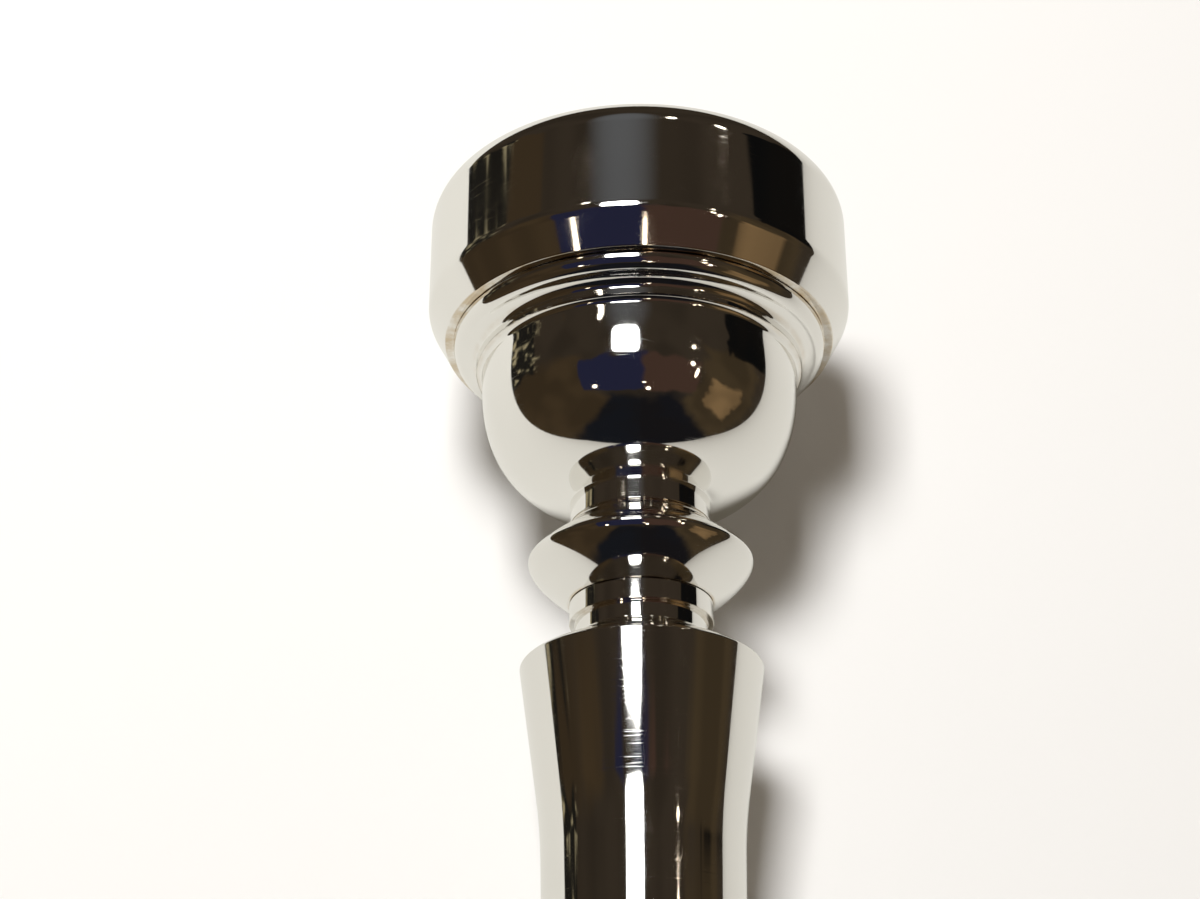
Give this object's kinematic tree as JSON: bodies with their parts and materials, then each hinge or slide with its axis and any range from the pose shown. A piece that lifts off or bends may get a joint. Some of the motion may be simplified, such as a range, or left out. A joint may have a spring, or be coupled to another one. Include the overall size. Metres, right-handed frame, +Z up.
{
  "type": "trumpet mouthpiece",
  "caption": "Silver-plated trumpet mouthpiece with a screw-on rim, a round cup with a beaded neck, and a stem with backbore and tapered shank.",
  "frame": {"origin": "on the axis, at the end face of the shank", "axes": "+Y along the axis from the shank's end to the rim, +Z up as the part lies on a table, X to the side"},
  "size_m": [0.027, 0.087, 0.027],
  "materials": {
    "silver_plate": "turned brass, silver plated and mirror polished, with fine handling scratches",
    "seal_rubber": "smooth black nitrile rubber"
  },
  "bodies": {
    "stem": {"stem": "silver_plate"},
    "stem_ring": {"stem_o_ring": "seal_rubber"},
    "cup": {"cup": "silver_plate"},
    "rim_ring": {"rim_o_ring": "seal_rubber"},
    "rim": {"rim": "silver_plate"}
  },
  "joints": [
    {"name": "cup_turn", "type": "hinge", "parent": "stem", "child": "stem_ring", "pos_m": [0, 0.0625, 0], "axis": [0, 1, 0], "range_deg": [0, 1080]},
    {"name": "cup_travel", "type": "slide", "parent": "stem_ring", "child": "cup", "axis": [0, 1, 0], "range_m": [0, 0.00225]},
    {"name": "rim_turn", "type": "hinge", "parent": "cup", "child": "rim_ring", "pos_m": [0, 0.082, 0], "axis": [0, 1, 0], "range_deg": [0, 1440]},
    {"name": "rim_travel", "type": "slide", "parent": "rim_ring", "child": "rim", "axis": [0, 1, 0], "range_m": [0, 0.0032]}
  ],
  "couplings": [
    {"joint": "cup_travel", "follows": "cup_turn", "m_per_rad": 0.00011937},
    {"joint": "rim_travel", "follows": "rim_turn", "m_per_rad": 0.00012732}
  ]
}
